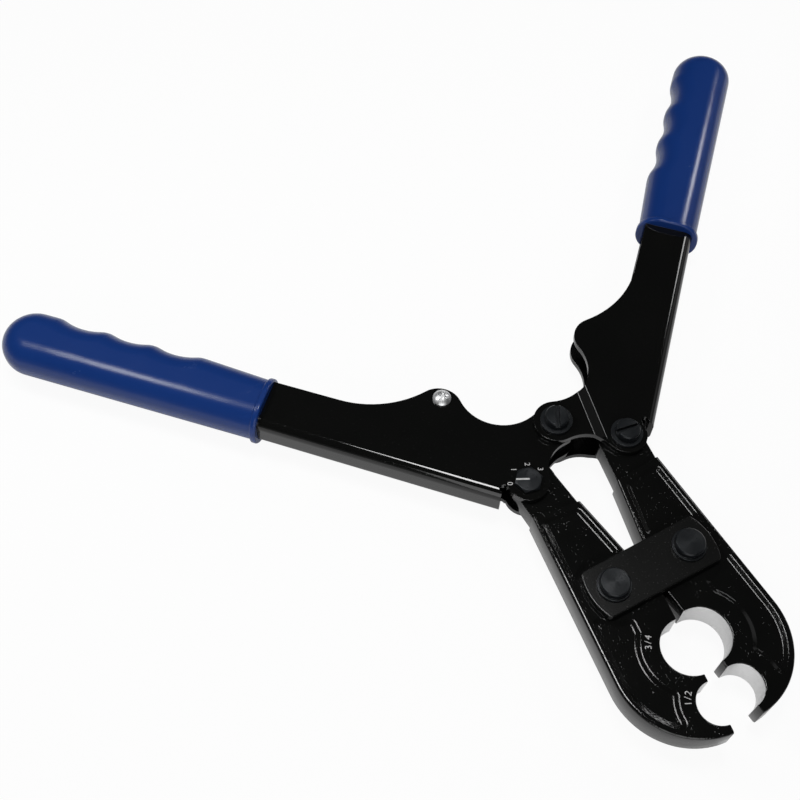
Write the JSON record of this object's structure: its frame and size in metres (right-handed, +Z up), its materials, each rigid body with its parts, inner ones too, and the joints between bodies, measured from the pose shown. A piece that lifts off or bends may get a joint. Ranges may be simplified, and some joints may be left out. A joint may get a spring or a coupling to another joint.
{
  "type": "crimp tool",
  "caption": "Manual crimp tool of the bolt-cutter kind: forged jaws with half-round dies close on copper pipe rings as the folded sheet handles with vinyl grips are squeezed.",
  "frame": {"origin": "under the middle of the tool's box, at the height of the back rivet heads it lies on", "axes": "+X across the tool from the left handle to the right, +Y from the jaws to the handles, +Z up out of the front face"},
  "size_m": [0.4126, 0.3196, 0.031],
  "materials": {
    "black_enamel": "gloss black enamel over a forging or a folded sheet",
    "forged_enamel": "gloss black enamel, pebbled by the forging, with bare ground bores",
    "black_oxide": "satin black oxide on turned steel",
    "zinc": "bright zinc plate",
    "blue_vinyl": "glossy dipped vinyl"
  },
  "bodies": {
    "link": {"front_link_plate": "black_enamel", "back_link_plate": "black_enamel", "left_jaw_rivet": "black_oxide", "right_jaw_rivet": "black_oxide"},
    "left_jaw": {"left_jaw": "forged_enamel"},
    "right_jaw": {"right_jaw": "forged_enamel"},
    "left_handle": {"left_handle_frame": "black_enamel", "left_grip": "blue_vinyl", "stop_screw": "zinc", "stop_spacer": "zinc", "stop_nut": "zinc"},
    "right_handle": {"right_handle_frame": "black_enamel", "right_grip": "blue_vinyl", "centre_bolt": "black_oxide", "centre_nut": "black_oxide", "centre_front_washer": "black_oxide", "centre_back_washer": "black_oxide", "centre_spacer": "black_oxide", "right_jaw_bolt": "black_oxide", "right_jaw_nut": "black_oxide", "right_jaw_front_washer": "black_oxide", "right_jaw_back_washer": "black_oxide"},
    "adjuster": {"adjuster_bolt": "black_oxide", "adjuster_nut": "black_oxide", "adjuster_washer": "black_oxide"}
  },
  "joints": [
    {"name": "left_handle_fold", "type": "hinge", "parent": "left_jaw", "child": "left_handle", "pos_m": [-0.0274, -0.02942, 0.01515], "axis": [0, 0, -1], "range_deg": [0, 39.22]},
    {"name": "left_jaw_pivot", "type": "hinge", "parent": "link", "child": "left_jaw", "pos_m": [-0.02311, -0.08817, 0.01515], "axis": [0, 0, 1], "range_deg": [0, 8.4]},
    {"name": "right_jaw_pivot", "type": "hinge", "parent": "link", "child": "right_jaw", "pos_m": [0.01439, -0.08817, 0.01515], "axis": [0, 0, -1], "range_deg": [0, 3.6]},
    {"name": "right_handle_fold", "type": "hinge", "parent": "right_jaw", "child": "right_handle", "pos_m": [0.02359, -0.02999, 0.01515], "axis": [0, 0, 1], "range_deg": [0, 35.7]},
    {"name": "adjuster_turn", "type": "hinge", "parent": "left_handle", "child": "adjuster", "pos_m": [-0.0274, -0.02942, 0.01515], "axis": [0, 0, -1], "range_deg": [0, 150]}
  ],
  "couplings": [
    {"joint": "left_jaw_pivot", "follows": "left_handle_fold", "ratio": 0.21416},
    {"joint": "right_jaw_pivot", "follows": "left_handle_fold", "ratio": 0.091782},
    {"joint": "right_handle_fold", "follows": "left_handle_fold", "ratio": 0.91002}
  ]
}
